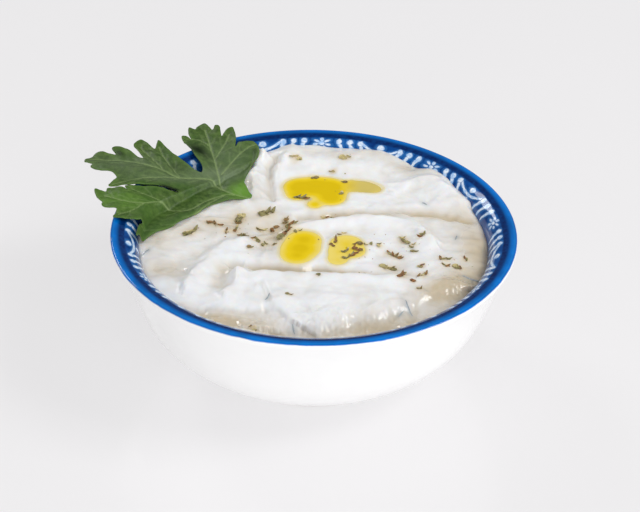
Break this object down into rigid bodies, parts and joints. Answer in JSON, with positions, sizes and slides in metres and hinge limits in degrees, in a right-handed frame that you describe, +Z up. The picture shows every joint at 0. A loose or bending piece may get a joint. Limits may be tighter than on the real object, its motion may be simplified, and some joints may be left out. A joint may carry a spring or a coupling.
{
  "type": "bowl of yoghurt and cucumber dip",
  "caption": "Round glazed bowl filled with spooned yoghurt and cucumber dip, with pools of oil and a parsley leaf over the rim.",
  "frame": {"origin": "middle of the whole outline, leaf included, on the surface the bowl stands on", "axes": "+Z up, +X along the longest side with the leaf's overhang at -X, +Y away from the shown front; the bowl's own axis is at x = +0.0055 m"},
  "size_m": [0.1301, 0.1192, 0.0463],
  "materials": {
    "glaze": "glossy white glaze outside, blue painted lip and inner wall",
    "dip": "thick white yoghurt with a wet sheen",
    "oil": "clear golden oil, mirror smooth",
    "leaf": "fresh green leaf, dull top with pale veins",
    "herb": "dry crumbled herb, olive brown",
    "cucumber": "wet grated cucumber skin"
  },
  "bodies": {
    "root": {"bowl": "glaze", "tzatziki": "dip", "oil_pool_large": "oil", "oil_pool_middle": "oil", "oil_pool_small": "oil", "parsley_leaf": "leaf"}
  },
  "joints": []
}
